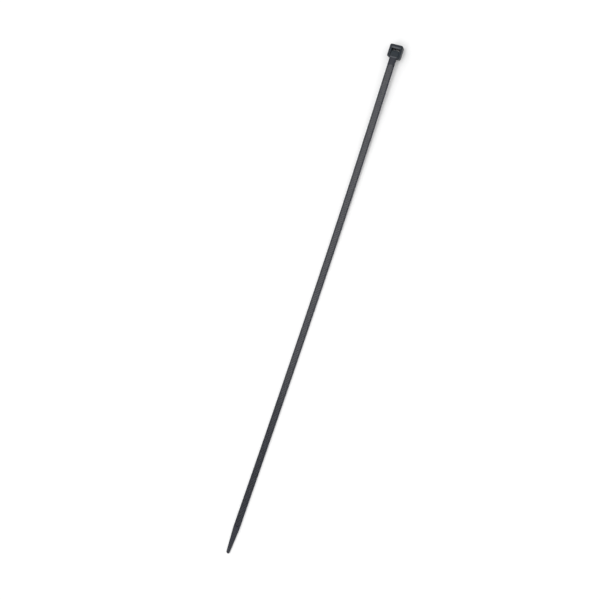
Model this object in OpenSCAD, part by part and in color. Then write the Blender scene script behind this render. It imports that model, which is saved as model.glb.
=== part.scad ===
// A one-piece nylon cable tie, lying toothed side up as it comes to rest on a table.
// The strap runs along X from the head at +X to the tail at -X, and z = 0 is the table.

/* [Strap] */
// Overall length, from the far end of the head to the tip of the tail
tie_l = 380; // [280:1:540]
// Width of the strap
strap_w = 4.8; // [4.2:0.1:6.4]
// Thickness of the strap over its side rails
strap_t = 1.25; // [1.05:0.05:1.6]
// Sideways bow of the strap at the middle of its length
strap_bow = 1.05; // [0:0.05:1.5]

/* [Ratchet track] */
// Distance from one tooth to the next
tooth_pitch = 1.2; // [1:0.05:1.5]
// Height of a tooth over the floor of the track
tooth_h = 0.4; // [0.25:0.05:0.5]
// Length of the flat crest of a tooth
crest_l = 0.15; // [0.05:0.05:0.3]
// How far the crests lie below the rails
crest_drop = 0.06; // [0.03:0.01:0.15]
// Width of each smooth rail beside the track
rail_w = 0.65; // [0.5:0.05:0.9]
// Smooth length of strap between the head and the track
root_l = 4.6; // [3:0.1:12]
// Smooth length of strap between the track and the tapered tail
track_end_l = 1.5; // [0.5:0.1:6]

/* [Tail] */
// Length of the tapered tail
tail_l = 20.5; // [15:0.5:40]
// Width of the tail at its tip
tip_w = 2.4; // [1.8:0.1:3.4]
// Thickness of the tail at its tip
tip_t = 0.9; // [0.7:0.05:1]
// Distance from one grip rib of the tail to the next
grip_pitch = 1.5; // [1:0.1:3]
// Width of the groove between two grip ribs
grip_gap = 0.6; // [0.3:0.05:0.9]
// Depth of the groove between two grip ribs
grip_depth = 0.15; // [0.05:0.05:0.25]

/* [Head] */
// Height of the head, from its exit face to its entrance face
head_h = 5.4; // [4.8:0.1:7]
// How far the entrance face stands over the toothed side of the strap
face_rise = 0.6; // [0.3:0.05:0.9]
// Length of the ramp that leads from the entrance face down to the strap
ramp_l = 0.85; // [0.3:0.05:0.9]
// Height of the small step at the foot of that ramp
ramp_step = 0.1; // [0.05:0.05:0.2]
// Thickness of the wall that the strap leaves from
root_wall_t = 1.15; // [1:0.05:2]
// Thickness of each side wall beside the slot
side_wall_t = 1.6; // [1.3:0.05:2.5]
// Width of the flat rim at the far end of the entrance face
end_rim_t = 1.4; // [0.8:0.05:2]
// Draft of each side wall over the height of the head
side_draft = 0.3; // [0:0.05:0.5]
// Radius of the upright corners
corner_r = 1.1; // [0.4:0.05:1.2]
// Bevel round the entrance face
rim_bevel = 0.25; // [0.1:0.05:0.4]
// Bevel round the exit face
foot_bevel = 0.5; // [0.2:0.05:0.8]
// Length of the gusset behind the root of the strap
gusset_l = 2.6; // [1.5:0.1:4]
// Depth of that gusset at the wall of the head
gusset_h = 1.1; // [0.5:0.1:1.6]

/* [Slot] */
// Clearance between the strap and the slot across the thickness of the strap
slot_play = 0.5; // [0.3:0.05:0.8]
// Clearance between the strap and the slot at each edge of the strap
slot_side_play = 0.5; // [0.15:0.05:0.6]
// Length of the lead-in slope on the end wall
lead_in_l = 1.05; // [0.6:0.05:1.6]
// Depth of the lead-in slope
lead_in_depth = 0.65; // [0.5:0.05:2]
// Bevel along the two sides of the entrance
side_bevel = 0.5; // [0.15:0.05:0.6]

/* [Pawl] */
// Distance from the wall of the hinge to the slot
pawl_reach = 3.3; // [2.8:0.1:4.5]
// Depth of the hinge below the entrance face
hinge_depth = 0.5; // [0.3:0.05:0.8]
// Thickness of the hinge
hinge_t = 0.9; // [0.6:0.05:1.2]
// Depth of the tip of the pawl below the entrance face
tip_depth = 1.45; // [1.2:0.05:1.7]
// Thickness of the pawl behind its teeth
pawl_t = 1; // [0.7:0.05:1.4]
// Number of teeth on the pawl
pawl_teeth = 2; // [1:1:2]
// How far the teeth of the pawl reach into the slot
pawl_bite = 0.8; // [0.4:0.05:0.9]
// Gap between the pawl and each side wall
pawl_gap = 0.2; // [0.15:0.05:0.5]
// Clearance between a tooth of the pawl and each rail of the strap
tooth_side_play = 0.1; // [0.05:0.05:0.2]
// Width of the nib on the tip of the pawl
nib_w = 0.7; // [0.4:0.1:1.2]
// Height of that nib
nib_h = 0.35; // [0.2:0.05:0.5]

/* [Material] */
// Stiffness of the nylon, in newtons for each square millimetre
nylon_e = 2000; // [1200:100:3000]
// Weight of a litre of the nylon, in newtons
nylon_weight = 11.2; // [10.8:0.1:13.5]

/* [Hidden] */
$fn = 48;

// Cuts run this far past the surface that they open
past = 1;
// The root of the strap reaches this far into the wall of the head
embed = 0.5;
// Stations along the lifted length, along the outline of the whole strap, and round one end of a band
side_steps = 30;
plan_steps = 23;
end_steps = 16;

slot_w = strap_w + 2 * slot_side_play;
slot_t = strap_t + slot_play;
track_w = strap_w - 2 * rail_w;
head_l = root_wall_t + pawl_reach + slot_t + lead_in_l + end_rim_t;
head_w = slot_w + 2 * side_wall_t;
slot_x0 = root_wall_t + pawl_reach;
slot_x1 = slot_x0 + slot_t;

// The underside of the strap leaves the head at this height
root_z = head_h - face_rise - strap_t;
strap_l = tie_l - head_l;
body_l = strap_l - tail_l;
wall_x = tie_l / 2 - head_l;

// The strap sags from the head and touches the table where its weight and its stiffness balance
litre = 1e6;
bend_ratio = nylon_e * strap_t * strap_t / 12 / (nylon_weight / litre);
touch_l = pow(24 * root_z * bend_ratio, 1 / 4);
// The head leans with the slope of the sagging strap
lean = atan(2 * root_z / touch_l);
// The lean lifts the near edge of the exit face by this much, so the head drops as far to stand on it
foot_lift = foot_bevel * sin(lean);

// All of these take u, the distance from the wall of the head towards the tail
function x_at(u) = wall_x - u;
function sag(r) = r > 1 ? 2 * r - 1 : r < 0 ? 0 : 2 * pow(r, 3) - pow(r, 4);
function under_z(u) = root_z * sag(1 - u / touch_l);
function tail_share(u) = max(0, (u - body_l) / tail_l);
function top_z(u) = under_z(u) + strap_t - (strap_t - tip_t) * tail_share(u);
function half_w(u) = (strap_w - (strap_w - tip_w) * tail_share(u)) / 2;
function bow_y(u) = -4 * strap_bow * (u / strap_l) * (1 - u / strap_l);
function edge(stations, inset, side) = [for (u = stations) [x_at(u), bow_y(u) + side * (half_w(u) - inset)]];
function end_arc(u, inset, reach) = reach == 0 ? [] : [
  for (i = [1:end_steps - 1]) let (a = 180 * i / end_steps)
    [x_at(u) - reach * sin(a), bow_y(u) + (half_w(u) - inset) * cos(a)]
];
function steps(from, to, n) = [for (i = [0:n]) from + (to - from) * i / n];
function reversed(list) = [for (i = [len(list) - 1:-1:0]) list[i]];

// Draws its 2D child, laid out in x and z, as wide as w across the strap
module across(w) {
  rotate([90, 0, 0]) linear_extrude(height = w, center = true) children();
}

// Draws its 2D child, laid out in x and y, from below the table to above the head
module upright() {
  translate([0, 0, -past]) linear_extrude(height = head_h + 3 * past) children();
}

// A 2D band that follows the bow of the strap, inset from both edges. Its ends are round where they
// reach past the first and the last station, and square where they don't.
module band(stations, inset, head_reach = 0, tail_reach = 0) {
  polygon(concat(
    edge(stations, inset, 1),
    end_arc(stations[len(stations) - 1], inset, tail_reach),
    reversed(edge(stations, inset, -1)),
    reversed(end_arc(stations[0], inset, -head_reach))
  ));
}

// The side view of the strap, thinner towards the tip
module strap_side() {
  lifted = steps(-embed, touch_l, side_steps);
  stations = concat(lifted, [body_l, strap_l]);
  polygon(concat(
    [for (u = stations) [x_at(u), under_z(u)]],
    [for (u = reversed(stations)) [x_at(u), top_z(u)]]
  ));
}

module strap_blank() {
  tip_r = tip_w / 2;
  stations = concat(steps(-embed, body_l, plan_steps), [strap_l - tip_r]);
  intersection() {
    across(2 * strap_w) strap_side();
    upright() band(stations, 0, tail_reach = tip_r);
  }
}

// The space over the saw teeth, in side view. Each tooth has its steep face towards the head.
module tooth_space(from, count) {
  crest = -crest_drop;
  floor_z = crest - tooth_h;
  over = head_h + past;
  polygon(concat(
    [[x_at(from), over]],
    [for (i = [0:count - 1]) let (u = from + i * tooth_pitch) each [
      [x_at(u), top_z(u) + floor_z],
      [x_at(u), top_z(u) + crest],
      [x_at(u + crest_l), top_z(u + crest_l) + crest]
    ]],
    [[x_at(from + count * tooth_pitch), top_z(from + count * tooth_pitch) + floor_z]],
    [[x_at(from + count * tooth_pitch), over]]
  ));
}

// The ratchet track, a long slot with round ends and a row of teeth for its floor
module track_cut() {
  end_r = track_w / 2;
  count = floor((body_l - root_l - track_end_l) / tooth_pitch);
  last = root_l + count * tooth_pitch;
  intersection() {
    across(strap_w) tooth_space(root_l, count);
    upright() band(steps(root_l + end_r, last - end_r, plan_steps), rail_w, end_r, end_r);
  }
}

// Shallow grooves across the tapered tail, which leave the grip ribs between them
module grip_cuts() {
  count = floor((tail_l - tip_w - grip_pitch) / grip_pitch);
  intersection() {
    for (i = [1:count]) {
      u = body_l + i * grip_pitch;
      translate([x_at(u), bow_y(u), top_z(u) - grip_depth + past])
        cube([grip_gap, strap_w, 2 * past], center = true);
    }
    upright() band(steps(body_l, strap_l - tip_w / 2, 4), rail_w / 2);
  }
}

module strap() {
  color("#2b2c30") difference() {
    strap_blank();
    track_cut();
    grip_cuts();
  }
}

// The head is drawn with its strap-side wall at x = 0 and its exit face at z = 0

module head_side() {
  polygon([
    [foot_bevel, 0],
    [head_l - foot_bevel, 0],
    [head_l, foot_bevel],
    [head_l, head_h - rim_bevel],
    [head_l - rim_bevel, head_h],
    [rim_bevel, head_h],
    [0, head_h - rim_bevel],
    [0, foot_bevel]
  ]);
}

module head_front() {
  top = head_w / 2;
  foot = top - side_draft;
  half = [
    [foot - foot_bevel, 0],
    [foot, foot_bevel],
    [top, head_h - rim_bevel],
    [top - rim_bevel, head_h]
  ];
  polygon(concat(half, [for (p = reversed(half)) [-p[0], p[1]]]));
}

module head_plan() {
  translate([0, -head_w / 2, -past]) {
    translate([corner_r, 0, 0]) cube([head_l - 2 * corner_r, head_w, head_h + 2 * past]);
    translate([0, corner_r, 0]) cube([head_l, head_w - 2 * corner_r, head_h + 2 * past]);
    for (x = [corner_r, head_l - corner_r], y = [corner_r, head_w - corner_r])
      translate([x, y, 0]) cylinder(r = corner_r, h = head_h + 2 * past);
  }
}

// Draws its 2D child, laid out in y and z, along the head
module along() {
  translate([-past, 0, 0]) rotate([90, 0, 90])
    linear_extrude(height = head_l + 2 * past) children();
}

module head_block() {
  intersection() {
    across(2 * head_w) head_side();
    along() head_front();
    head_plan();
  }
}

// The ramp between two cheeks, as wide as the strap, from the entrance face down to the toothed side of the strap
module ramp_cut() {
  ramp_h = face_rise - ramp_step;
  across(strap_w) polygon([
    [-past, head_h - ramp_h],
    [0, head_h - ramp_h],
    [ramp_l * (1 + past / ramp_h), head_h + past],
    [-past, head_h + past]
  ]);
}

// The opening through the head: the slot, its lead-in, and the chamber that the pawl swings in
module passage() {
  lead_top = lead_in_l * (1 + past / lead_in_depth);
  bevel_top = slot_w / 2 + side_bevel + past;
  intersection() {
    across(2 * head_w) polygon([
      [root_wall_t, -past],
      [root_wall_t, head_h + past],
      [slot_x1 + lead_top, head_h + past],
      [slot_x1, head_h - lead_in_depth],
      [slot_x1, -past]
    ]);
    along() polygon([
      [-slot_w / 2, -past],
      [-slot_w / 2, head_h - side_bevel],
      [-bevel_top, head_h + past],
      [bevel_top, head_h + past],
      [slot_w / 2, head_h - side_bevel],
      [slot_w / 2, -past]
    ]);
  }
}

// The pawl: a tongue from the hinge down to the slot, with teeth that mesh with the track
module pawl() {
  tip_x = slot_x0 + pawl_bite - tooth_h;
  tip_z = head_h - tip_depth;
  hinge_z = head_h - hinge_depth;
  teeth_z = tip_z - pawl_teeth * tooth_pitch;
  slope = (hinge_z - tip_z) / (tip_x - root_wall_t);
  across(slot_w - 2 * pawl_gap) polygon([
    [root_wall_t - embed, hinge_z],
    [root_wall_t, hinge_z],
    [tip_x, tip_z],
    [tip_x, teeth_z],
    [tip_x - pawl_t, teeth_z],
    [root_wall_t, hinge_z - hinge_t],
    [root_wall_t - embed, hinge_z - hinge_t]
  ]);
  across(track_w - 2 * tooth_side_play) polygon(concat(
    [[tip_x - pawl_t / 2, tip_z - tooth_h]],
    [for (i = [0:pawl_teeth - 1]) let (z = tip_z - i * tooth_pitch) each [
      [tip_x, z - crest_l],
      [tip_x + tooth_h, z - tooth_pitch + crest_l],
      [tip_x + tooth_h, z - tooth_pitch],
      [tip_x, z - tooth_pitch]
    ]],
    [[tip_x - pawl_t / 2, teeth_z]]
  ));
  across(nib_w) polygon([
    [tip_x, tip_z - nib_h],
    [tip_x - 2 * nib_h, tip_z + 2 * nib_h * slope - nib_h / 2],
    [tip_x - nib_h, tip_z + nib_h * slope + nib_h],
    [tip_x + tooth_h, tip_z + nib_h / 2],
    [tip_x + tooth_h, tip_z - nib_h]
  ]);
}

// The gusset that thickens the back of the strap where it meets the head
module gusset() {
  across(strap_w - 2 * rail_w) polygon([
    [embed, root_z - gusset_h],
    [0, root_z - gusset_h],
    [-gusset_l, root_z + embed / 2],
    [embed, root_z + embed / 2]
  ]);
}

module head() {
  color("#26272b") translate([wall_x, 0, -foot_lift]) rotate([0, -lean, 0]) {
    difference() {
      head_block();
      passage();
      ramp_cut();
    }
    pawl();
    gusset();
  }
}

module cable_tie() {
  union() {
    strap();
    head();
  }
}

cable_tie();
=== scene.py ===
"""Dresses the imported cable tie, a one-piece black nylon tie that lies toothed side up on a pale floor.

Sizes are in millimetres. Those of the tie's form are the ones in the part's own source, and only finer
things, such as rounded edges and the mould's parting line, are sized here alone. Each mesh is built in
millimetres in the row's frame, with the head at +X and the table at z = 0, and is then brought to metres.
"""

import logging
import math
from dataclasses import dataclass, fields, replace
from enum import Enum

import bmesh
import bpy
from mathutils import Matrix, Vector


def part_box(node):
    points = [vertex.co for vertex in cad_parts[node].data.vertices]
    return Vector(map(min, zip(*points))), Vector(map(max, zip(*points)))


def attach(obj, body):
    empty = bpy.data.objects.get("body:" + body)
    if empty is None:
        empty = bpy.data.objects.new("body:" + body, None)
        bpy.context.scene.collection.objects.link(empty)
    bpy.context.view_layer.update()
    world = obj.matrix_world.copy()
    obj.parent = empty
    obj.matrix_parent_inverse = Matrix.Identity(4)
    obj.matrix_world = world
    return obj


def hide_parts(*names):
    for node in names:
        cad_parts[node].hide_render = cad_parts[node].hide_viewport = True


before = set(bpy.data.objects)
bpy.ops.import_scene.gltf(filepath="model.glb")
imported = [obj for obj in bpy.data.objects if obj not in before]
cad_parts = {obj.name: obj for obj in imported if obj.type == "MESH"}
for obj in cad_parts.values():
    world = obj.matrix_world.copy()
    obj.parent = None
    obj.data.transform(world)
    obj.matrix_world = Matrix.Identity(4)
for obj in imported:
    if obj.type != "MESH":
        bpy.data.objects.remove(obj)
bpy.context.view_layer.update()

MM = 0.001
CUBIC_MM_IN_LITRE = 1e6
NODE = "cable_tie"
BODY = "root"
WHITE = (1.0, 1.0, 1.0, 1.0)
NYLON_IOR = 1.5

# The visual tie is this much shorter than the solid, so that rounding can't carry it past the solid's
# ends. Points of the strap that lie as close to each other are one point.
HAIR = 0.0004

# An edge that turns by more than the first angle, in degrees, is shaded as sharp. An edge of the head or
# the pawl that turns by more than the second is rounded, with that many faces across the rounding.
SHARP_ANGLE = 32.0
EASED_ANGLE = 34.0
EASED_FACES = 2

Feeds = dict[str | int, object]

log = logging.getLogger("cable_tie")


# The line of the strap


@dataclass(frozen=True)
class StrapLine:
    """The strap's driving sizes, and the line it follows. Each u is a distance from the head.

    Attributes:
        tie_length: Overall length, from the far end of the head to the tip of the tail.
        head_length: Length of the head.
        root_height: Height of the underside where the strap leaves the head.
        width: Width of the strap.
        thickness: Thickness over the side rails.
        bow: Sideways bow at the middle of the length.
        tail_length: Length of the tapered tail.
        tip_width: Width of the tail at its tip.
        tip_thickness: Thickness of the tail at its tip.
        stiffness: Stiffness of the nylon, in newtons for each square millimetre.
        weight: Weight of the nylon, in newtons for each litre.
    """

    tie_length: float
    head_length: float
    root_height: float
    width: float = 4.8
    thickness: float = 1.25
    bow: float = 1.05
    tail_length: float = 20.5
    tip_width: float = 2.4
    tip_thickness: float = 0.9
    stiffness: float = 2000.0
    weight: float = 11.2

    @property
    def wall_x(self) -> float:
        """Where the head's strap-side wall stands along X."""
        return self.tie_length / 2 - self.head_length

    @property
    def strap_length(self) -> float:
        """Length of the strap without the head."""
        return self.tie_length - self.head_length

    @property
    def body_length(self) -> float:
        """Length of the strap before its tapered tail."""
        return self.strap_length - self.tail_length

    @property
    def tip_radius(self) -> float:
        """Radius of the round tip."""
        return self.tip_width / 2

    @property
    def tip_start(self) -> float:
        """Where the round tip begins, as a distance from the head."""
        return self.strap_length - self.tip_radius

    @property
    def touch_length(self) -> float:
        """Distance from the head at which the sagging strap reaches the table."""
        bend_ratio = self.stiffness * self.thickness**2 / 12 / (self.weight / CUBIC_MM_IN_LITRE)
        return (24 * self.root_height * bend_ratio) ** 0.25

    @property
    def lean(self) -> float:
        """Angle at which the sagging strap holds the head, in radians."""
        return math.atan(2 * self.root_height / self.touch_length)

    def tail_share(self, u: float) -> float:
        """Share of the tapered tail that lies before u."""
        return max(0.0, (u - self.body_length) / self.tail_length)

    def half_width(self, u: float) -> float:
        """Half the width of the strap at u."""
        return (self.width - (self.width - self.tip_width) * self.tail_share(u)) / 2

    def thickness_at(self, u: float) -> float:
        """Thickness of the strap over its rails at u."""
        return self.thickness - (self.thickness - self.tip_thickness) * self.tail_share(u)

    def under(self, u: float) -> float:
        """Height of the underside over the table, by the formula of a bending beam.

        Args:
            u: Distance from the head, below 0 inside it, where the strap runs straight.

        Returns:
            The height, which is 0 where the strap lies flat.
        """
        r = 1 - u / self.touch_length
        if r <= 0:
            return 0.0
        if r > 1:
            return self.root_height * (2 * r - 1)
        return self.root_height * (2 * r**3 - r**4)

    def seat(self, u: float) -> Vector:
        """The point in the middle of the underside at u."""
        share = u / self.strap_length
        return Vector((self.wall_x - u, -4 * self.bow * share * (1 - share), self.under(u)))

    def along(self, u: float, reach: float = 0.5) -> Vector:
        """The direction of the strap's top at u, towards the head."""
        near, far = (self.seat(v) + Vector((0, 0, self.thickness_at(v))) for v in (u - reach, u + reach))
        return (near - far).normalized()


# Node trees


class NodeNet:
    """Fills a node tree, be it of a material, of the world or of a group."""

    def __init__(self, tree: bpy.types.NodeTree) -> None:
        """Takes the tree that is to be filled."""
        self.tree = tree

    def feed(self, node: bpy.types.Node, feeds: Feeds) -> None:
        """Fills inputs of a node.

        Args:
            node: The node.
            feeds: What goes into its inputs, by name or number: a socket or a plain value.
        """
        for key, value in feeds.items():
            if isinstance(value, bpy.types.NodeSocket):
                self.tree.links.new(value, node.inputs[key])
            else:
                node.inputs[key].default_value = value

    def add(self, kind: str, feeds: Feeds | None = None, **settings: object) -> bpy.types.Node:
        """Adds a node.

        Args:
            kind: The node's type.
            feeds: What goes into its inputs.
            **settings: The node's own properties.

        Returns:
            The node.
        """
        node = self.tree.nodes.new(kind)
        for name, value in settings.items():
            setattr(node, name, value)
        self.feed(node, feeds or {})
        return node

    def reckon(self, operation: str, first: object, second: object) -> bpy.types.NodeSocket:
        """Adds a Math node on two sockets or numbers, and returns its output."""
        return self.add("ShaderNodeMath", {0: first, 1: second}, operation=operation).outputs[0]


class NodeGroup(NodeNet):
    """A node tree of its own, with named inputs and outputs."""

    def __init__(self, name: str, kind: str, inputs: dict[str, str], outputs: dict[str, str]) -> None:
        """Starts the group.

        Args:
            name: Name of the group.
            kind: Type of its tree.
            inputs: The kind of each named input.
            outputs: The kind of each named output.
        """
        super().__init__(bpy.data.node_groups.new(name, kind))
        self.keys = {label: self.socket(label, "INPUT", value) for label, value in inputs.items()}
        for label, value in outputs.items():
            self.socket(label, "OUTPUT", value)
        self.given = self.add("NodeGroupInput").outputs
        self.made = self.add("NodeGroupOutput")

    def socket(self, label: str, way: str, value: str) -> str:
        """Gives the group a named socket for a kind of value, and returns its identifier."""
        face = self.tree.interface
        return face.new_socket(label, in_out=way, socket_type=f"NodeSocket{value}").identifier


class StrapTree(NodeGroup):
    """A Geometry Nodes tree that makes a shape along a line of edges and gives it a finish."""

    def __init__(self, name: str, inputs: dict[str, str]) -> None:
        """Starts the tree.

        Args:
            name: Name of the tree.
            inputs: The kind of each named input, beside the line and the finish.
        """
        every = {"Geometry": "Geometry", **inputs, "Finish": "Material"}
        super().__init__(name, "GeometryNodeTree", every, {"Geometry": "Geometry"})
        self.line = self.add("GeometryNodeMeshToCurve", {"Mesh": self.given["Geometry"]}).outputs[0]

    def attribute(self, name: str, kind: str = "FLOAT") -> bpy.types.NodeSocket:
        """Reads a named attribute."""
        read = self.add("GeometryNodeInputNamedAttribute", {"Name": name}, data_type=kind)
        return read.outputs["Attribute"]

    def sum_of(self, *pairs: tuple[str, str]) -> bpy.types.NodeSocket:
        """Adds up products of two attributes each.

        Args:
            *pairs: The names of the two attributes of each product.

        Returns:
            The sum.
        """
        terms = [self.reckon("MULTIPLY", self.attribute(a), self.attribute(b)) for a, b in pairs]
        total = terms[0]
        for term in terms[1:]:
            total = self.reckon("ADD", total, term)
        return total

    def end(self, shape: bpy.types.NodeSocket) -> None:
        """Ends the tree: makes the shape real and gives it the finish.

        Args:
            shape: The shape that the tree has made.
        """
        real = self.add("GeometryNodeRealizeInstances", {"Geometry": shape}).outputs[0]
        dressed = self.add("GeometryNodeSetMaterial", {"Geometry": real, "Material": self.given["Finish"]})
        self.feed(self.made, {"Geometry": dressed.outputs[0]})

    def run(self, piece: bpy.types.Object, values: dict[str, object]) -> None:
        """Runs the tree on a piece and keeps what it makes as the piece's plain mesh.

        Args:
            piece: The object that the tree starts from.
            values: The value of each named input.
        """
        modifier = piece.modifiers.new(self.tree.name, "NODES")
        modifier.node_group = self.tree
        for label, value in values.items():
            modifier[self.keys[label]] = value
        settle_modifiers(piece)


# Finishes


class MouldFace(Enum):
    """How the mould's steel was finished for a face. Each value is a grain depth, in millimetres."""

    POLISHED = 0.004
    SATIN = 0.010
    SPARKED = 0.018


@dataclass(frozen=True)
class MouldedGrain:
    """The grain that every moulded nylon face shares.

    Fine grain comes from the steel of the mould. Flow marks run along the strap, the way the melt went,
    among wider clouds.

    Attributes:
        fade: Strength of each finer layer of a noise beside the layer before.
        grain_layers: Layers of the fine grain.
        flow_layers: Layers of the flow marks.
        cloud_layers: Layers of the clouds.
        squeeze: Share of its length that the strap keeps where flow marks are read, which draws them out.
        flow_marks: Flow marks across one flow length.
        clouds: Clouds in one flow length.
        mottle: Weight of the flow marks, and of the clouds, in the colour's mottle.
        mottle_span: Mottle at which the tone is deepest, and at which it is palest.
        gloss_span: Mean of grain and clouds at which a face is smoothest, and at which it is roughest.
    """

    fade: float = 0.6
    grain_layers: float = 3.0
    flow_layers: float = 4.0
    cloud_layers: float = 2.0
    squeeze: float = 0.06
    flow_marks: float = 16.0
    clouds: float = 2.5
    mottle: float = 0.6
    mottle_span: tuple[float, float] = (0.42, 0.78)
    gloss_span: tuple[float, float] = (0.4, 0.6)

    def group(self) -> NodeGroup:
        """Builds the grain as a shader node group.

        Returns:
            The group, with outputs for colour, roughness and height.
        """
        group = NodeGroup("moulded_grain", "ShaderNodeTree", {
            "Vector": "Vector", "Grain Size": "Float", "Flow Length": "Float", "Flow Share": "Float",
            "Deep Tone": "Color", "Pale Tone": "Color", "Smoothest": "Float", "Roughest": "Float",
        }, {"Colour": "Color", "Roughness": "Float", "Height": "Float"})
        given = group.given
        place, scale = given["Vector"], (self.squeeze, 1, 1)
        squeezed = group.add("ShaderNodeVectorMath", {0: place, 1: scale}, operation="MULTIPLY")

        def noise(spot: bpy.types.NodeSocket, marks: float, size: str, layers: float) -> bpy.types.NodeSocket:
            """Adds a noise.

            Args:
                spot: The point at which it is read.
                marks: Marks across the size.
                size: Name of the input that holds the size.
                layers: Layers of the noise.

            Returns:
                Its value, between 0 and 1.
            """
            return group.add("ShaderNodeTexNoise", {
                "Vector": spot, "Scale": group.reckon("DIVIDE", marks, given[size]),
                "Detail": layers, "Roughness": self.fade,
            }).outputs["Fac"]

        grain = noise(place, 1.0, "Grain Size", self.grain_layers)
        flow = noise(squeezed.outputs[0], self.flow_marks, "Flow Length", self.flow_layers)
        cloud = noise(place, self.clouds, "Flow Length", self.cloud_layers)
        height = group.add("ShaderNodeMix", {"Factor": given["Flow Share"], "A": grain, "B": flow})
        shares = [group.reckon("MULTIPLY", part, self.mottle) for part in (flow, cloud)]
        spread = group.add("ShaderNodeMapRange", {
            "Value": group.reckon("ADD", *shares),
            "From Min": self.mottle_span[0], "From Max": self.mottle_span[1],
        })
        tone = group.add("ShaderNodeMix", {
            "Factor": spread.outputs["Result"], "A": given["Deep Tone"], "B": given["Pale Tone"],
        }, data_type="RGBA")
        gloss = group.add("ShaderNodeMapRange", {
            "Value": group.reckon("MULTIPLY", group.reckon("ADD", cloud, grain), 0.5),
            "From Min": self.gloss_span[0], "From Max": self.gloss_span[1],
            "To Min": given["Smoothest"], "To Max": given["Roughest"],
        })
        group.feed(group.made, {
            "Colour": tone.outputs["Result"], "Roughness": gloss.outputs["Result"],
            "Height": height.outputs["Result"],
        })
        return group


@dataclass(frozen=True)
class NylonFinish:
    """One finish of the black nylon.

    Attributes:
        name: Name of the material.
        face: How the mould's steel was finished there.
        deep: Darker tone of the nylon.
        pale: Paler tone, on the flow marks.
        smoothest: Roughness of the glossiest patches.
        roughest: Roughness of the dullest patches.
        grain_size: Size of the fine grain, in millimetres.
        flow_length: Size of the flow marks, in millimetres.
        flow_share: Share of the flow marks in the relief.
        relief: Strength of the relief.
        specular: Strength of the plain reflection.
    """

    name: str
    face: MouldFace
    deep: tuple[float, float, float] = (0.007, 0.0085, 0.015)
    pale: tuple[float, float, float] = (0.013, 0.0155, 0.027)
    smoothest: float = 0.22
    roughest: float = 0.33
    grain_size: float = 0.16
    flow_length: float = 22.0
    flow_share: float = 0.25
    relief: float = 0.6
    specular: float = 0.5

    def material(self, grain: NodeGroup) -> bpy.types.Material:
        """Builds the finish as a material.

        Args:
            grain: The shared grain of moulded nylon.

        Returns:
            A material with its own nodes.
        """
        material = bpy.data.materials.new(self.name)
        material.use_nodes = True
        net = NodeNet(material.node_tree)
        surface = net.add("ShaderNodeGroup", {
            "Vector": net.add("ShaderNodeTexCoord").outputs["Object"],
            "Grain Size": self.grain_size * MM,
            "Flow Length": self.flow_length * MM,
            "Flow Share": self.flow_share,
            "Deep Tone": (*self.deep, 1),
            "Pale Tone": (*self.pale, 1),
            "Smoothest": self.smoothest,
            "Roughest": self.roughest,
        }, node_tree=grain.tree).outputs
        bump = net.add("ShaderNodeBump", {
            "Strength": self.relief, "Distance": self.face.value * MM, "Height": surface["Height"],
        })
        net.feed(material.node_tree.nodes["Principled BSDF"], {
            "Base Color": surface["Colour"], "Roughness": surface["Roughness"],
            "Normal": bump.outputs["Normal"], "Metallic": 0.0, "IOR": NYLON_IOR,
            "Specular IOR Level": self.specular,
        })
        return material


STRAP_FINISH = NylonFinish("nylon_strap", MouldFace.SATIN, specular=0.22)
TRACK_FINISH = NylonFinish(
    "nylon_track", MouldFace.POLISHED, deep=(0.004, 0.005, 0.010), pale=(0.021, 0.024, 0.037),
    smoothest=0.12, roughest=0.28, flow_length=4.5, flow_share=0.1, specular=0.45,
)
HEAD_FINISH = NylonFinish(
    "nylon_head", MouldFace.SPARKED, deep=(0.006, 0.010, 0.015), pale=(0.010, 0.0155, 0.023),
    smoothest=0.3, roughest=0.42, flow_length=9.0, specular=0.2,
)
MOUTH_FINISH = NylonFinish(
    "nylon_mouth", MouldFace.POLISHED, deep=(0.004, 0.0085, 0.016), pale=(0.009, 0.0155, 0.028),
    smoothest=0.24, roughest=0.36, specular=0.6,
)
# The pawl's deep and pale tones are painted paler than those of the rest of the nylon: painted light that
# stands in for the light and reflection the recessed pawl loses to the head's walls.
PAWL_PAINTED_LIGHT_FINISH = NylonFinish(
    "nylon_pawl_painted_light", MouldFace.SATIN, deep=(0.012, 0.018, 0.024), pale=(0.018, 0.026, 0.035),
    smoothest=0.3, roughest=0.42, flow_length=9.0, specular=0.3,
)


# Meshes


class Cut(Enum):
    """What one shape does to another."""

    ADD = "UNION"
    TAKE = "DIFFERENCE"


def place_object(name: str, data: bpy.types.ID) -> bpy.types.Object:
    """Adds an object to the scene.

    Args:
        name: Name of the object.
        data: Its mesh, lamp or lens.

    Returns:
        The new object.
    """
    made = bpy.data.objects.new(name, data)
    bpy.context.scene.collection.objects.link(made)
    return made


def fill(mesh: bpy.types.Mesh, bm: bmesh.types.BMesh) -> None:
    """Puts a bmesh into a mesh with its faces turned outwards, and frees it.

    Args:
        mesh: The mesh that is filled.
        bm: The shape.
    """
    bmesh.ops.recalc_face_normals(bm, faces=bm.faces)
    bm.to_mesh(mesh)
    bm.free()


def mesh_object(name: str, bm: bmesh.types.BMesh) -> bpy.types.Object:
    """Turns a bmesh into an object of the scene, and frees it.

    Args:
        name: Name of the object.
        bm: The shape.

    Returns:
        The new object.
    """
    mesh = bpy.data.meshes.new(name)
    fill(mesh, bm)
    return place_object(name, mesh)


def quarter(steps: int, start: float = 0.0) -> list[float]:
    """Angles over a quarter turn in equal steps, in radians, from a start given in quarter turns."""
    return [math.radians(90 * (start + i / steps)) for i in range(steps + 1)]


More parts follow.
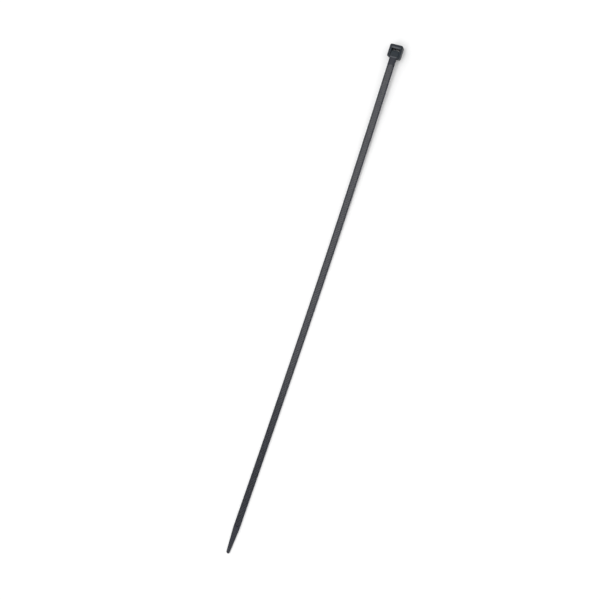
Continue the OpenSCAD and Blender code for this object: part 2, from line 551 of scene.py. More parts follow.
def rounded_ring(x0: float, x1: float, half: float, radius: float, z: float, steps: int) -> list[Vector]:
    """The corners of a rounded rectangle that lies level.

    Args:
        x0: Near end along X.
        x1: Far end along X.
        half: Half its width.
        radius: Radius of its corners.
        z: Its height.
        steps: Steps round one corner.

    Returns:
        The points of the ring, in order.
    """
    centres = (
        (x1 - radius, half - radius), (x0 + radius, half - radius),
        (x0 + radius, radius - half), (x1 - radius, radius - half),
    )
    ring = []
    for start, (cx, cy) in enumerate(centres):
        for a in quarter(steps, start):
            ring.append(Vector((cx + radius * math.cos(a), cy + radius * math.sin(a), z)))
    return ring


def loft(name: str, rings: list[list[Vector]]) -> bpy.types.Object:
    """Joins rings of as many points each into a closed shape.

    Args:
        name: Name of the object.
        rings: The rings, from one end of the shape to the other.

    Returns:
        The new object.
    """
    bm = bmesh.new()
    rows = [[bm.verts.new(p) for p in ring] for ring in rings]
    for low, high in zip(rows, rows[1:]):
        for i in range(len(low)):
            j = (i + 1) % len(low)
            bm.faces.new((low[i], low[j], high[j], high[i]))
    bm.faces.new(rows[0])
    bm.faces.new(rows[-1])
    return mesh_object(name, bm)


def prism(name: str, outline: list[tuple[float, float]], width: float) -> bpy.types.Object:
    """Draws an outline in x and z across the strap, to half the width on each side of y = 0."""
    return loft(name, [[Vector((x, y, z)) for x, z in outline] for y in (-width / 2, width / 2)])


def columns(rows: list) -> dict[str, list]:
    """The values that each field has over a list of dataclass instances."""
    return {column.name: [getattr(row, column.name) for row in rows] for column in fields(rows[0])}


def line_object(
    name: str, points: list[Vector], values: dict[str, list], closed: bool = False
) -> bpy.types.Object:
    """Makes a line of edges whose points carry named values.

    Args:
        name: Name of the object.
        points: The points, in order.
        values: For each attribute, a number or a vector for each point.
        closed: Whether the last point joins the first.

    Returns:
        The line's object.
    """
    mesh = bpy.data.meshes.new(name)
    edges = [(i, i + 1) for i in range(len(points) - 1)]
    if closed:
        edges.append((len(points) - 1, 0))
    mesh.from_pydata(points, edges, [])
    for label, numbers in values.items():
        if isinstance(numbers[0], Vector):
            attribute = mesh.attributes.new(label, "FLOAT_VECTOR", "POINT")
            attribute.data.foreach_set("vector", [c for v in numbers for c in v])
        else:
            attribute = mesh.attributes.new(label, "FLOAT", "POINT")
            attribute.data.foreach_set("value", numbers)
    return place_object(name, mesh)


def settle_modifiers(piece: bpy.types.Object) -> None:
    """Turns what a piece's modifiers make into its plain mesh, and removes them.

    Args:
        piece: The piece that is changed.
    """
    seen = piece.evaluated_get(bpy.context.evaluated_depsgraph_get())
    made = bpy.data.meshes.new_from_object(seen)
    piece.modifiers.clear()
    piece.data = made


def work(piece: bpy.types.Object, tool: bpy.types.Object, cut: Cut) -> None:
    """Adds a tool's shape to a piece, or takes it away, and removes the tool.

    Args:
        piece: The piece that is changed.
        tool: The shape that is added or taken.
        cut: Which of the two is done.
    """
    modifier = piece.modifiers.new("work", "BOOLEAN")
    modifier.operation = cut.value
    modifier.solver = "EXACT"
    modifier.object = tool
    modifier.material_mode = "TRANSFER"
    settle_modifiers(piece)
    bpy.data.objects.remove(tool)


def smooth(piece: bpy.types.Object) -> None:
    """Shades a piece smooth, except across its sharp edges."""
    piece.data.shade_smooth()
    piece.data.set_sharp_from_angle(angle=math.radians(SHARP_ANGLE))


def ease_edges(piece: bpy.types.Object, width: float) -> None:
    """Rounds the edges of a piece, and keeps its wide faces flat.

    Args:
        piece: The piece that is changed.
        width: Width of the rounding, in millimetres.
    """
    smooth(piece)
    modifier = piece.modifiers.new("ease", "BEVEL")
    modifier.limit_method = "ANGLE"
    modifier.angle_limit = math.radians(EASED_ANGLE)
    modifier.width = width
    modifier.segments = EASED_FACES
    modifier.harden_normals = True
    settle_modifiers(piece)


def dress(piece: bpy.types.Object, material: bpy.types.Material) -> bpy.types.Object:
    """Gives every face of a piece one finish.

    Args:
        piece: The piece.
        material: The finish.

    Returns:
        The same piece.
    """
    piece.data.materials.clear()
    piece.data.materials.append(material)
    return piece


def finish_piece(piece: bpy.types.Object, place: Matrix | None = None) -> None:
    """Brings a dressed piece to metres, smooths it and fastens it to the frame.

    Args:
        piece: The piece, still in millimetres.
        place: Where its own axes lie in the row's frame, in millimetres.
    """
    mesh = piece.data
    mesh.transform(Matrix.Scale(MM, 4) @ (place or Matrix.Identity(4)))
    if not mesh.has_custom_normals:
        smooth(piece)
    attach(piece, BODY)
    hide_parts(NODE)
    finishes = ", ".join(material.name for material in mesh.materials)
    log.info("%s: %d faces in %s", piece.name, len(mesh.polygons), finishes)


# Rows and sweeps along the strap


def row_tree() -> StrapTree:
    """Builds the tree that sets one shape again and again along a line.

    The line's points carry "along", the direction towards the head, and "half_width", by which a shape
    of half-width 1 is widened. A small spread in height keeps the row from looking ruled.

    Returns:
        The tree, with inputs for the shape, how many, the lowest height and the seed.
    """
    row = StrapTree("row_along_strap", {"Shape": "Object", "Count": "Int", "Lowest": "Float", "Seed": "Int"})
    given = row.given
    spots = row.add("GeometryNodeResampleCurve", {"Curve": row.line, "Count": given["Count"]})
    along = row.attribute("along", "FLOAT_VECTOR")
    turn = row.add("FunctionNodeAlignRotationToVector", {"Vector": along}, axis="X")
    height = row.add("FunctionNodeRandomValue", {"Seed": given["Seed"]}, data_type="FLOAT")
    least, most = [socket for socket in height.inputs if socket.type == "VALUE"][:2]
    row.tree.links.new(given["Lowest"], least)
    most.default_value = 1.0
    drawn = next(socket for socket in height.outputs if socket.type == "VALUE")
    scale = row.add("ShaderNodeCombineXYZ", {"X": 1.0, "Y": row.attribute("half_width"), "Z": drawn})
    shape = row.add("GeometryNodeObjectInfo", {"Object": given["Shape"], "As Instance": True})
    placed = row.add("GeometryNodeInstanceOnPoints", {
        "Points": spots.outputs[0], "Instance": shape.outputs["Geometry"],
        "Rotation": turn.outputs[0], "Scale": scale.outputs[0],
    })
    row.end(placed.outputs[0])
    return row


def sweep_tree() -> StrapTree:
    """Builds the tree that sweeps a section along the strap, while each station gives its sizes.

    A point of the section says how it moves with the width, the track, the thickness and the depth of the
    track, so one section serves the smooth root, the toothed length, the ribbed tail and the round tip.

    Returns:
        The tree, with an input for the section.
    """
    sweep = StrapTree("strap_sweep", {"Section": "Object"})
    drawn = sweep.add("GeometryNodeObjectInfo", {"Object": sweep.given["Section"]})
    section = sweep.add("GeometryNodeMeshToCurve", {"Mesh": drawn.outputs["Geometry"]})
    tube = sweep.add("GeometryNodeCurveToMesh", {
        "Curve": sweep.line, "Profile Curve": section.outputs[0], "Fill Caps": True,
    })
    across = sweep.reckon("MULTIPLY", sweep.attribute("side"), sweep.sum_of(
        ("width_share", "half_width"), ("track_share", "track_half"), ("out", "edge_share"),
    ))
    up = sweep.sum_of(("height_share", "thickness"), ("depth_share", "track_depth"), ("lift", "edge_share"))
    offset = sweep.add("ShaderNodeCombineXYZ", {"Y": across, "Z": up}).outputs[0]
    seat = sweep.attribute("seat", "FLOAT_VECTOR")
    point = sweep.add("ShaderNodeVectorMath", {0: seat, 1: offset}, operation="ADD").outputs[0]
    moved = sweep.add("GeometryNodeSetPosition", {"Geometry": tube.outputs[0], "Position": point})
    whole = sweep.add("GeometryNodeMergeByDistance", {"Geometry": moved.outputs[0], "Distance": HAIR})
    sweep.end(whole.outputs[0])
    return sweep


@dataclass(frozen=True)
class CrossRow:
    """One shape that is set across the strap again and again, on the floor of a recess.

    Attributes:
        name: Name of the finished piece.
        line: The line of the strap.
        depth: Depth of the recess below the rails.
        half_widths: Half the width of the shape at each distance from the head.
        lowest: Height of the lowest shape as a share of a full one.
        seed: Seed for the heights.
    """

    name: str
    line: StrapLine
    depth: float
    half_widths: dict[float, float]
    lowest: float = 1.0
    seed: int = 1

    def build(self, shape: bpy.types.Object, row: StrapTree, material: bpy.types.Material) -> None:
        """Sets the shape along the strap, and removes the one that it is copied from.

        Args:
            shape: The shape, of half-width 1.
            row: The tree that repeats a shape along a line.
            material: The finish of the row.
        """
        line, spots = self.line, list(self.half_widths)
        floor = [line.seat(u) + Vector((0, 0, line.thickness_at(u) - self.depth)) for u in spots]
        made = line_object(self.name, floor, {
            "half_width": list(self.half_widths.values()), "along": [line.along(u) for u in spots],
        })
        row.run(made, {
            "Shape": dress(shape, material), "Count": len(spots), "Lowest": self.lowest,
            "Seed": self.seed, "Finish": material,
        })
        bpy.data.objects.remove(shape)
        finish_piece(made)


# The strap, its teeth and its ribs


@dataclass(frozen=True)
class RatchetTrack:
    """The row of saw teeth between the strap's two rails.

    Attributes:
        line: The line of the strap.
        pitch: Distance from one tooth to the next.
        height: Height of a tooth over the floor of the track.
        crest: Length of the flat crest of a tooth.
        crest_ease: Rounding of the crest.
        drop: How far the crests lie below the rails.
        rail: Width of each rail.
        root: Smooth length between the head and the track.
        end: Smooth length between the track and the tail.
        embed: How far a tooth reaches into the floor and the rails.
        lowest: Height of the lowest tooth as a share of a full one.
        seed: Seed for the heights.
    """

    line: StrapLine
    pitch: float = 1.2
    height: float = 0.4
    crest: float = 0.15
    crest_ease: float = 0.03
    drop: float = 0.06
    rail: float = 0.65
    root: float = 4.6
    end: float = 1.5
    embed: float = 0.08
    lowest: float = 0.96
    seed: int = 7

    @property
    def depth(self) -> float:
        """Depth of the track's floor below the rails."""
        return self.drop + self.height

    @property
    def half(self) -> float:
        """Half the width of the track, and the radius of its round ends."""
        return self.line.width / 2 - self.rail

    @property
    def count(self) -> int:
        """Number of teeth that fit between the root and the tail."""
        return math.floor((self.line.body_length - self.root - self.end) / self.pitch)

    @property
    def last(self) -> float:
        """Where the track ends, as a distance from the head."""
        return self.root + self.count * self.pitch

    def tooth(self) -> bpy.types.Object:
        """Builds one tooth of half-width 1, with its steep face towards the head and its crest eased.

        Returns:
            The tooth.
        """
        top, ease = self.height, self.crest_ease
        outline = [
            (0.0, -self.embed), (0.0, top - 2 * ease), (-0.3 * ease, top - 0.6 * ease), (-1.2 * ease, top),
            (-self.crest + ease, top), (-self.crest - ease, top - 0.7 * ease),
            (-self.pitch, 0.0), (-self.pitch, -self.embed),
        ]
        return prism("tooth_shape", outline, 2.0)

    def build(self, row: StrapTree, material: bpy.types.Material) -> None:
        """Sets the teeth along the floor of the track.

        Args:
            row: The tree that repeats a shape along a line.
            material: The finish of the teeth.
        """
        halves = {self.root + i * self.pitch: self.half + self.embed for i in range(self.count)}
        teeth = CrossRow("ratchet_teeth", self.line, self.depth, halves, self.lowest, self.seed)
        teeth.build(self.tooth(), row, material)


@dataclass(frozen=True)
class GripRibs:
    """The low ribs across the tapered tail, for a better hold.

    Attributes:
        line: The line of the strap.
        pitch: Distance from one rib to the next.
        gap: Width of the groove between two ribs.
        depth: Depth of the grooves.
        margin: Width of the plain edge beside the ribs.
        embed: How far a rib reaches into the tail.
        ease: Rounding of a rib.
    """

    line: StrapLine
    pitch: float = 1.5
    gap: float = 0.6
    depth: float = 0.15
    margin: float = 0.325
    embed: float = 0.06
    ease: float = 0.08

    @property
    def grooves(self) -> int:
        """Number of grooves that fit on the tail."""
        line = self.line
        return math.floor((line.tail_length - line.tip_width - self.pitch) / self.pitch)

    @property
    def start(self) -> float:
        """Where the first groove begins, as a distance from the head."""
        return self.line.body_length + self.pitch - self.gap / 2

    @property
    def stop(self) -> float:
        """Where the last groove ends, as a distance from the head."""
        return self.line.body_length + self.grooves * self.pitch + self.gap / 2

    def rib(self) -> bpy.types.Object:
        """Builds one rib of half-width 1 with eased edges.

        Returns:
            The rib.
        """
        half, top, ease = (self.pitch - self.gap) / 2, self.depth, self.ease
        near = [(half, -self.embed), (half, top - ease)]
        near += [(half - 0.3 * ease, top - 0.3 * ease), (half - ease, top)]
        far = [(-x, z) for x, z in reversed(near)]
        return prism("rib_shape", near + far, 2.0)

    def build(self, row: StrapTree, material: bpy.types.Material) -> None:
        """Sets the ribs along the tail.

        Args:
            row: The tree that repeats a shape along a line.
            material: The finish of the ribs.
        """
        line = self.line
        spots = [line.body_length + (i + 0.5) * self.pitch for i in range(1, self.grooves)]
        halves = {u: line.half_width(u) - self.margin + self.embed for u in spots}
        CrossRow("grip_ribs", line, self.depth, halves).build(self.rib(), row, material)


@dataclass(frozen=True)
class SectionPoint:
    """A point of the strap's section, said in shares of the sizes that a station gives.

    Attributes:
        width_share: Share of the strap's half-width.
        track_share: Share of the recess's half-width.
        out: Plain distance outwards.
        height_share: Share of the thickness.
        depth_share: Share of the recess's depth, below 0 for downwards.
        lift: Plain distance upwards.
        side: 1 for the side of +Y, and -1 for the other.
    """

    width_share: float = 0.0
    track_share: float = 0.0
    out: float = 0.0
    height_share: float = 0.0
    depth_share: float = 0.0
    lift: float = 0.0
    side: float = 1.0


@dataclass(frozen=True)
class Station:
    """What the sweep reads at one distance from the head.

    Attributes:
        seat: The point in the middle of the underside.
        half_width: Half the width of the strap.
        thickness: Thickness of the strap over its rails.
        edge_share: Share of the edges' rounding that is left, as the round tip narrows.
        track_half: Half the width of the recess.
        track_depth: Depth of the recess.
    """

    seat: Vector
    half_width: float
    thickness: float
    edge_share: float
    track_half: float
    track_depth: float


@dataclass(frozen=True)
class Strap:
    """The strap with its two rails, its recessed track and its tapered, round-tipped tail.

    Attributes:
        line: The line of the strap.
        track: The ratchet track, for the recess that the teeth stand in.
        ribs: The grip ribs, for the recess that they stand in.
        under_radius: Rounding along the underside.
        rail_radius: Rounding along the outside of each rail.
        seam: How far the mould's parting line stands out.
        seam_height: Height of the parting line as a share of the thickness.
        embed: How far the strap reaches into the head.
        sliver: Width that the track starts from at its round ends.
        least_half: Half the width at the very end of the round tip.
        least_edge: Share of the edges' rounding that the very end keeps.
        tip_recess: Most of the round tip's half-width that a recess may take.
        nudge: Distance between two stations where the recess steps down.
        spacing: Distance between two stations where nothing changes.
        edge_steps: Steps over each rounded edge of the section.
        round_steps: Stations over the track's round ends and the round tip.
        rib_steps: Stations along the recess of the ribs.
    """

    line: StrapLine
    track: RatchetTrack
    ribs: GripRibs
    under_radius: float = 0.3
    rail_radius: float = 0.2
    seam: float = 0.014
    seam_height: float = 0.52
    embed: float = 0.5
    sliver: float = 0.02
    least_half: float = 0.01
    least_edge: float = 0.02
    tip_recess: float = 0.6
    nudge: float = 0.001
    spacing: float = 5.0
    edge_steps: int = 5
    round_steps: int = 12
    rib_steps: int = 6

    def half_section(self) -> list[SectionPoint]:
        """The section from the middle of the underside, round one edge, to the middle of the track.

        Returns:
            The points, in order.
        """
        under, rail, seam, ease = self.under_radius, self.rail_radius, self.seam, self.track.drop
        turns = [(math.sin(a), math.cos(a)) for a in quarter(self.edge_steps)]
        edge = [(under * (s - 1), 0, under * (1 - c)) for s, c in turns]
        edge += [
            (out, self.seam_height, lift)
            for out, lift in ((0, -2 * seam), (seam, -0.5 * seam), (seam, 0.5 * seam), (0, 2 * seam))
        ]
        edge += [(rail * (c - 1), 1, rail * (s - 1)) for s, c in turns]
        points = [SectionPoint(width_share=1, out=out, height_share=up, lift=lift) for out, up, lift in edge]
        points += [
            SectionPoint(track_share=1, out=ease, height_share=1),
            SectionPoint(track_share=1, height_share=1, depth_share=-ease / self.track.depth),
            SectionPoint(track_share=1, height_share=1, depth_share=-1),
        ]
        return points

    def section(self) -> bpy.types.Object:
        """Draws the whole section as a closed line that carries its shares.

        Returns:
            The line, whose points stand on a circle until the sweep moves them.
        """
        half = self.half_section()
        points = half + [replace(point, side=-1.0) for point in reversed(half)]
        angles = [math.tau * i / len(points) for i in range(len(points))]
        ring = [Vector((math.cos(a), math.sin(a), 0)) for a in angles]
        return line_object("strap_section", ring, columns(points), closed=True)

    def recess(self, u: float) -> tuple[float, float]:
        """Half the width of the recess at u, and its depth.

        Args:
            u: Distance from the head.

        Returns:
            The half-width and the depth, which is 0 where the strap is smooth.
        """
        line, track, ribs = self.line, self.track, self.ribs
        if track.root <= u <= track.last:
            inside = min(u - track.root, track.last - u, track.half)
            round_half = math.sqrt(max(0.0, track.half**2 - (track.half - inside) ** 2))
            return max(self.sliver, round_half), track.depth
        if ribs.start <= u <= ribs.stop:
            return line.half_width(u) - ribs.margin, ribs.depth
        if u < (track.last + ribs.start) / 2:
            return self.sliver, 0.0
        return line.half_width(min(u, ribs.stop)) - ribs.margin, 0.0

    def station(self, u: float) -> Station:
        """Works out the strap's sizes at one distance from the head.

        Args:
            u: Distance from the head.

        Returns:
            The station.
        """
        line = self.line
        beyond = min(1.0, max(0.0, (u - line.tip_start) / line.tip_radius))
        half = line.half_width(min(u, line.tip_start)) * math.sqrt(1 - beyond**2)
        edge_share = min(1.0, half / (2 * self.under_radius) + self.least_edge)
        half = max(half, self.least_half)
        recess_half, depth = self.recess(u)
        if beyond:
            recess_half = min(recess_half, self.tip_recess * half)
        return Station(line.seat(u), half, line.thickness_at(u), edge_share, recess_half, depth)

    def stops(self) -> list[float]:
        """The distances from the head at which the sweep has a station.

        Returns:
            The distances in order, with two a nudge apart wherever the recess steps down.
        """
        line, track, ribs = self.line, self.track, self.ribs
        inner, outer = track.root + track.half, track.last - track.half
        steps = math.ceil((outer - inner) / self.spacing)
        every = [-self.embed, 0.0, line.body_length]
        every += [track.root - self.nudge, track.last + self.nudge]
        every += [ribs.start - self.nudge, ribs.stop + self.nudge]
        every += [inner + (outer - inner) * i / steps for i in range(1, steps)]
        ribbed = ribs.stop - ribs.start
        every += [ribs.start + ribbed * i / self.rib_steps for i in range(self.rib_steps + 1)]
        for a in quarter(self.round_steps):
            round_end = track.half * (1 - math.cos(a))
            every += [track.root + round_end, track.last - round_end]
            every.append(line.tip_start + line.tip_radius * math.sin(a))
        return sorted({round(u, 4) for u in every})

    def build(self, sweep: StrapTree, material: bpy.types.Material) -> None:
        """Sweeps the strap.

        Args:
            sweep: The tree that sweeps a section along a line.
            material: The finish of the strap.
        """
        stations = [self.station(u) for u in self.stops()]
        strap = line_object("strap", [station.seat for station in stations], columns(stations))
        section = self.section()
        sweep.run(strap, {"Section": section, "Finish": material})
        bpy.data.objects.remove(section)
        bm = bmesh.new()
        bm.from_mesh(strap.data)
        fill(strap.data, bm)
        finish_piece(strap)


# The head and its pawl


@dataclass(frozen=True)
class Head:
    """The head, drawn with its strap-side wall at x = 0 and its exit face at z = 0.

    Attributes:
        strap_width: Width of the strap that goes through it.
        strap_thickness: Thickness of that strap.
        height: Height from the exit face to the entrance face.
        face_rise: How far the entrance face stands over the toothed side of the strap.
        ramp: Length of the ramp from the entrance face down to the strap.
        ramp_step: Height of the small step at the foot of the ramp.
        root_wall: Thickness of the wall that the strap leaves from.
        side_wall: Thickness of each side wall.
        end_rim: Width of the flat rim at the far end.
        draft: Draft of each side wall over the height.
        corner: Radius of the upright corners.
        rim: Rounding round the entrance face.
        foot: Rounding round the exit face.
        gusset: Length of the gusset behind the root of the strap.
        gusset_depth: Depth of that gusset.
        gusset_width: Width of that gusset.
        gusset_rise: How far the gusset reaches up into the strap.
        gusset_embed: How far the gusset reaches into the wall.
        play: Clearance across the strap's thickness.
        side_play: Clearance at each edge of the strap.
        passage_corner: Radius of the passage's upright corners.
        lead_in: Length of the slope on the end wall.
        lead_depth: Depth of that slope.
        side_bevel: Bevel along the two sides of the entrance.
        pawl_reach: Distance from the wall of the hinge to the slot.
        past: How far a cut runs past the face that it opens.
        ease: Rounding of the cut edges.
        corner_steps: Steps round an upright corner of the outside.
        inner_steps: Steps round an upright corner of the passage.
        edge_steps: Steps over the rounding of the two faces.
    """

    strap_width: float = 4.8
    strap_thickness: float = 1.25
    height: float = 5.4
    face_rise: float = 0.6
    ramp: float = 0.85
    ramp_step: float = 0.1
    root_wall: float = 1.15
    side_wall: float = 1.6
    end_rim: float = 1.4
    draft: float = 0.3
    corner: float = 1.1
    rim: float = 0.25
    foot: float = 0.5
    gusset: float = 2.6
    gusset_depth: float = 1.1
    gusset_width: float = 3.5
    gusset_rise: float = 0.25
    gusset_embed: float = 0.5
    play: float = 0.5
    side_play: float = 0.5
    passage_corner: float = 0.2
    lead_in: float = 1.05
    lead_depth: float = 0.65
    side_bevel: float = 0.5
    pawl_reach: float = 3.3
    past: float = 1.0
    ease: float = 0.07
    corner_steps: int = 6
    inner_steps: int = 3
    edge_steps: int = 4

    @property
    def slot_near(self) -> float:
        """Where the slot begins."""
        return self.root_wall + self.pawl_reach

    @property
    def slot_far(self) -> float:
        """Where the slot ends, at the end wall."""
        return self.slot_near + self.strap_thickness + self.play

    @property
    def slot_width(self) -> float:
        """Width of the passage."""
        return self.strap_width + 2 * self.side_play

    @property
    def length(self) -> float:
        """Length of the head."""
        return self.slot_far + self.lead_in + self.end_rim

    @property
    def width(self) -> float:
        """Width of the head at its entrance face."""
        return self.slot_width + 2 * self.side_wall

    @property
    def root_height(self) -> float:
        """Height of the strap's underside at the wall."""
        return self.height - self.face_rise - self.strap_thickness

    @property
    def lead_z(self) -> float:
        """Height at which the lead-in slope begins."""
        return self.height - self.lead_depth

    def place(self, line: StrapLine) -> Matrix:
        """Where the head's own axes lie: leaning with the strap, its near foot edge on the table."""
        drop = self.foot * math.sin(line.lean)
        return Matrix.Translation((line.wall_x, 0, -drop)) @ Matrix.Rotation(-line.lean, 4, "Y")

    def block(self) -> bpy.types.Object:
        """Builds the outer form, with drafted sides and rounded foot, rim and corners.

        Returns:
            The block.
        """
        top, rim_z = self.width / 2, self.height - self.rim
        turns = [(math.sin(a), math.cos(a)) for a in quarter(self.edge_steps)]
        levels = [(top - self.draft, self.foot * (1 - s), self.foot * (1 - c)) for s, c in turns]
        levels += [(top, self.rim * (1 - c), rim_z + self.rim * s) for s, c in turns]
        rings = []
        for half, inset, z in levels:
            corner = max(self.corner - inset, self.rim)
            rings.append(rounded_ring(inset, self.length - inset, half - inset, corner, z, self.corner_steps))
        return loft("head", rings)

    def passage(self) -> bpy.types.Object:
        """Builds the space through the head: the slot, its lead-in and the chamber of the pawl.

        Returns:
            The space.
        """
        bevel_z = self.height - self.side_bevel
        rings = []
        for z in (-self.past, self.lead_z, bevel_z, self.height + self.past):
            far = self.slot_far + max(0.0, z - self.lead_z) * self.lead_in / self.lead_depth
            half = self.slot_width / 2 + max(0.0, z - bevel_z)
            rings.append(rounded_ring(self.root_wall, far, half, self.passage_corner, z, self.inner_steps))
        return loft("passage", rings)

    def ramp_space(self) -> bpy.types.Object:
        """Builds the space over the ramp between two cheeks, as wide as the strap.

        Returns:
            The space.
        """
        rise = self.face_rise - self.ramp_step
        foot_z, top_z = self.height - rise, self.height + self.past
        top_x = self.ramp * (1 + self.past / rise)
        outline = [(-self.past, foot_z), (0.0, foot_z), (top_x, top_z), (-self.past, top_z)]
        return prism("ramp_space", outline, self.strap_width)

    def root_gusset(self) -> bpy.types.Object:
        """Builds the gusset that thickens the back of the strap at the wall.

        Returns:
            The gusset.
        """
        low, high = self.root_height - self.gusset_depth, self.root_height + self.gusset_rise
        outline = [(self.gusset_embed, low), (0.0, low), (-self.gusset, high), (self.gusset_embed, high)]
        return prism("root_gusset", outline, self.gusset_width)

    def build(self, line: StrapLine, outside: bpy.types.Material, mouth: bpy.types.Material) -> None:
        """Builds the head.

        Args:
            line: The line of the strap.
            outside: The finish of the outer faces, and of the passage below its lead-in.
            mouth: The finish of the lead-in, the side bevels and the ramp.
        """
        head = dress(self.block(), outside)
        work(head, dress(self.root_gusset(), outside), Cut.ADD)
        passage = dress(self.passage(), mouth)
        passage.data.materials.append(outside)
        for face in passage.data.polygons:
            face.material_index = int(face.center.z < self.lead_z)
        work(head, passage, Cut.TAKE)
        work(head, dress(self.ramp_space(), mouth), Cut.TAKE)
        ease_edges(head, self.ease)
        finish_piece(head, self.place(line))


@dataclass(frozen=True)
class Pawl:
    """The sprung tongue inside the head, whose teeth mesh with the track.

    Attributes:
        head: The head that it is moulded in.
        track: The ratchet track that its teeth mesh with.
        hinge_depth: Depth of the hinge below the entrance face.
        hinge: Thickness of the hinge.
        tip_depth: Depth of the tip below the entrance face.
        thickness: Thickness behind the teeth.
        teeth: Number of teeth.
        bite: How far the teeth reach into the slot.
        gap: Gap to each side wall.
        tooth_play: Clearance between a tooth and each rail.
        nib_width: Width of the nib on the tip.
        nib: Height of the nib.
        embed: How far the hinge reaches into the wall.
        ease: Rounding of the edges.
    """

    head: Head
    track: RatchetTrack
    hinge_depth: float = 0.5
    hinge: float = 0.9
    tip_depth: float = 1.45
    thickness: float = 1.0
    teeth: int = 2
    bite: float = 0.8
    gap: float = 0.2
    tooth_play: float = 0.1
    nib_width: float = 0.7
    nib: float = 0.35
    embed: float = 0.5
    ease: float = 0.05

    @property
    def tip_x(self) -> float:
        """Where the flat front of the pawl stands behind its teeth."""
        return self.head.slot_near + self.bite - self.track.height

    @property
    def tip_z(self) -> float:
        """Height of the tip."""
        return self.head.height - self.tip_depth

    @property
    def low_z(self) -> float:
        """Height of the lowest tooth's foot."""
        return self.tip_z - self.teeth * self.track.pitch

    @property
    def hinge_z(self) -> float:
        """Height of the top of the hinge."""
        return self.head.height - self.hinge_depth

    def tongue(self) -> bpy.types.Object:
        """Builds the tongue from the hinge to the tip and down behind the teeth.

        Returns:
            The tongue.
        """
        wall, x = self.head.root_wall, self.tip_x
        outline = [
            (wall - self.embed, self.hinge_z), (wall, self.hinge_z), (x, self.tip_z), (x, self.low_z),
            (x - self.thickness, self.low_z), (wall, self.hinge_z - self.hinge),
            (wall - self.embed, self.hinge_z - self.hinge),
        ]
        return prism("pawl", outline, self.head.slot_width - 2 * self.gap)

    def tooth_block(self) -> bpy.types.Object:
        """Builds the teeth as one narrower block.

        Returns:
            The block.
        """
        x, track = self.tip_x, self.track
        behind, front = x - self.thickness / 2, x + track.height
        outline = [(behind, self.tip_z - track.height)]
        for i in range(self.teeth):
            z = self.tip_z - i * track.pitch
            low = z - track.pitch
            outline += [(x, z - track.crest), (front, low + track.crest), (front, low), (x, low)]
        outline.append((behind, self.low_z))
        return prism("pawl_teeth", outline, 2 * track.half - 2 * self.tooth_play)

    def nib_block(self) -> bpy.types.Object:
        """Builds the nib on the middle of the tip.

        Returns:
            The nib.
        """
        x, z, nib, reach = self.tip_x, self.tip_z, self.nib, self.track.height
        slope = (self.hinge_z - z) / (x - self.head.root_wall)
        outline = [
            (x, z - nib), (x - 2 * nib, z + 2 * nib * slope - nib / 2), (x - nib, z + nib * slope + nib),
            (x + reach, z + nib / 2), (x + reach, z - nib),
        ]
        return prism("pawl_nib", outline, self.nib_width)

    def build(self, line: StrapLine, material: bpy.types.Material) -> None:
        """Builds the pawl.

        Args:
            line: The line of the strap.
            material: The finish of the pawl, whose tones are painted paler as painted light.
        """
        pawl = dress(self.tongue(), material)
        for part in (self.tooth_block(), self.nib_block()):
            work(pawl, dress(part, material), Cut.ADD)
        ease_edges(pawl, self.ease)
        finish_piece(pawl, self.head.place(line))


# The studio


@dataclass(frozen=True)
class Softbox:
    """A soft rectangular lamp that faces the middle of the row.

    Attributes:
        name: Name of the lamp.
        lean: The two angles between which it stands, from straight up towards the tail, in degrees.
        side: How far it then stands to the side of +Y, in degrees.
        spread: Its width as an angle, in degrees.
        radiance: How bright it looks, where 1 is white.
        distance: Its distance, in metres.
    """

    name: str
    lean: tuple[float, float]
    side: float
    spread: float
    radiance: float
    distance: float = 40.0

    def hang(self) -> None:
        """Adds the lamp to the scene."""
        low, high = (math.radians(a) for a in self.lean)
        lamp = bpy.data.lights.new(self.name, "AREA")
        lamp.shape = "RECTANGLE"
        lamp.size = 2 * self.distance * math.tan((high - low) / 2)
        lamp.size_y = 2 * self.distance * math.tan(math.radians(self.spread) / 2)
        lamp.energy = math.pi * lamp.size * lamp.size_y * self.radiance
        made = place_object(self.name, lamp)
        turn = Matrix.Rotation(-(low + high) / 2, 4, "Y") @ Matrix.Rotation(-math.radians(self.side), 4, "X")
        made.matrix_world = turn @ Matrix.Translation((0, 0, self.distance))
        made.visible_camera = False


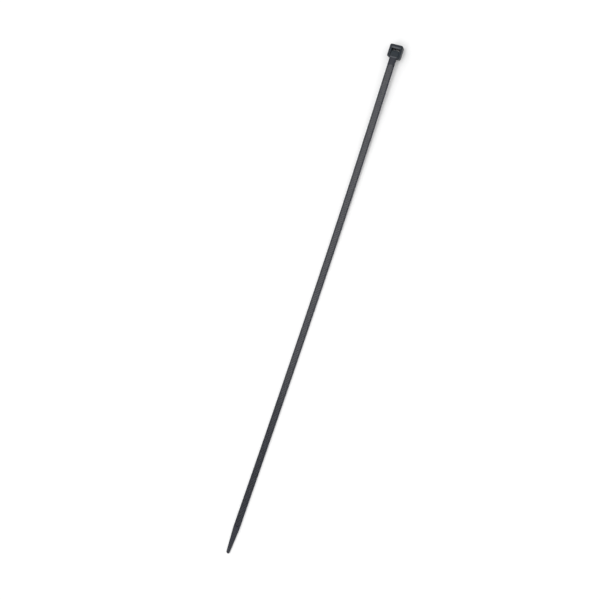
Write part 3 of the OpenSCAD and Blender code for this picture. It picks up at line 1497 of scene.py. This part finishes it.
@dataclass(frozen=True)
class Studio:
    """The pale floor, the light and the camera.

    Attributes:
        floor_size: Side of the floor, in metres.
        floor_tone: Colour of the floor.
        floor_roughness: Roughness of the floor.
        floor_specular: Strength of the floor's plain reflection.
        ambient: Strength of the even light from all round.
        tilt: Turns of the camera about the strap's length, across it and in the picture, in degrees.
        shift: Sideways place of the camera in its own axes, in millimetres.
        distance: Distance of the camera from the middle of the row, in millimetres.
        view_angle: Angle of view, in degrees.
        clip: Nearest and furthest that the camera sees, in metres.
        softboxes: The lamps.
    """

    floor_size: float = 4.0
    floor_tone: float = 0.93
    floor_roughness: float = 0.9
    floor_specular: float = 0.2
    ambient: float = 1.0
    tilt: tuple[float, float, float] = (-17.43, -7.60, 71.47)
    shift: tuple[float, float] = (-6.45, 8.72)
    distance: float = 511.2
    view_angle: float = 45.0
    clip: tuple[float, float] = (0.01, 20.0)
    softboxes: tuple[Softbox, ...] = (
        Softbox("tail_side", (28.5, 54.6), 16.0, 12.0, 2.65),
        Softbox("overhead", (-18.0, 15.0), 16.0, 12.0, 2.8),
    )

    def world(self) -> None:
        """Lights the scene evenly, and shows white to the camera and to reflections."""
        world = bpy.data.worlds.new("studio")
        bpy.context.scene.world = world
        world.use_nodes = True
        net = NodeNet(world.node_tree)
        even = world.node_tree.nodes["Background"]
        net.feed(even, {"Color": WHITE, "Strength": self.ambient})
        white = net.add("ShaderNodeBackground", {"Color": WHITE})
        rays = net.add("ShaderNodeLightPath").outputs
        seen = rays["Is Camera Ray"]
        for label in ("Is Glossy Ray", "Is Transmission Ray"):
            seen = net.reckon("MAXIMUM", seen, rays[label])
        mix = net.add("ShaderNodeMixShader", {0: seen, 1: even.outputs[0], 2: white.outputs[0]})
        net.feed(world.node_tree.nodes["World Output"], {"Surface": mix.outputs[0]})

    def floor(self) -> None:
        """Lays the pale floor on the table's level."""
        bm = bmesh.new()
        bmesh.ops.create_grid(bm, x_segments=2, y_segments=2, size=self.floor_size / 2)
        material = bpy.data.materials.new("pale_floor")
        material.use_nodes = True
        tone = self.floor_tone
        NodeNet(material.node_tree).feed(material.node_tree.nodes["Principled BSDF"], {
            "Base Color": (tone, tone, tone, 1), "Roughness": self.floor_roughness,
            "Specular IOR Level": self.floor_specular,
        })
        dress(mesh_object("floor", bm), material)

    def camera(self) -> None:
        """Sets the camera at the photograph's viewing angle."""
        about_length, across, roll = (math.radians(a) for a in self.tilt)
        turn = Matrix.Rotation(roll, 4, "Z") @ Matrix.Rotation(across, 4, "Y")
        back = (turn @ Matrix.Rotation(about_length, 4, "X")).transposed()
        lens = bpy.data.cameras.new("camera")
        lens.sensor_fit = "HORIZONTAL"
        lens.angle = math.radians(self.view_angle)
        lens.clip_start, lens.clip_end = self.clip
        spot = back @ Vector((*self.shift, self.distance)) * MM
        camera = place_object("camera", lens)
        camera.matrix_world = Matrix.Translation(spot) @ back
        bpy.context.scene.camera = camera

    def build(self) -> None:
        """Sets up the whole studio."""
        bpy.context.scene.view_settings.view_transform = "Standard"
        self.world()
        self.floor()
        self.camera()
        for softbox in self.softboxes:
            softbox.hang()


# The whole scene


def main() -> None:
    """Builds the tie and its studio, and reports each piece."""
    logging.basicConfig(level=logging.INFO, format="%(name)s: %(message)s")
    grain = MouldedGrain().group()
    row, sweep = row_tree(), sweep_tree()
    low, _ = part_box(NODE)
    head = Head()
    line = StrapLine(tie_length=-2 * low.x / MM - HAIR, head_length=head.length, root_height=head.root_height)
    track, ribs = RatchetTrack(line), GripRibs(line)
    track_material = TRACK_FINISH.material(grain)
    strap_material = STRAP_FINISH.material(grain)
    Strap(line, track, ribs).build(sweep, strap_material)
    track.build(row, track_material)
    ribs.build(row, strap_material)
    head.build(line, HEAD_FINISH.material(grain), MOUTH_FINISH.material(grain))
    Pawl(head, track).build(line, PAWL_PAINTED_LIGHT_FINISH.material(grain))
    Studio().build()


if __name__ == "__main__":
    main()
